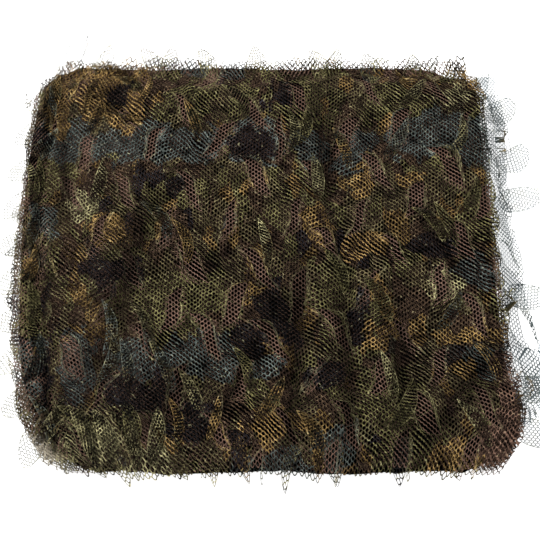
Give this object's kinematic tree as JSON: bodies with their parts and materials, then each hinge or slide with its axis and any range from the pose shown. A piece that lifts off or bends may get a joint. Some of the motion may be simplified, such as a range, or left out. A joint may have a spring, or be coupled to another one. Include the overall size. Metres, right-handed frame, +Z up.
{
  "type": "folded camouflage net",
  "caption": "Leaf-cut camouflage netting folded back and forth into a flat pack, resting on a surface, with a loose end out past one side",
  "frame": {"origin": "on the surface that the pack rests on, under the middle of its footprint", "axes": "+X along the folded strip, towards the side where its lower end lies out; +Y from the front open edge to the back one; +Z up"},
  "size_m": [0.4102, 0.3451, 0.0421],
  "materials": {
    "netting": "matte hexagonal netting with a woodland print"
  },
  "bodies": {
    "root": {"net": "netting"}
  },
  "joints": []
}
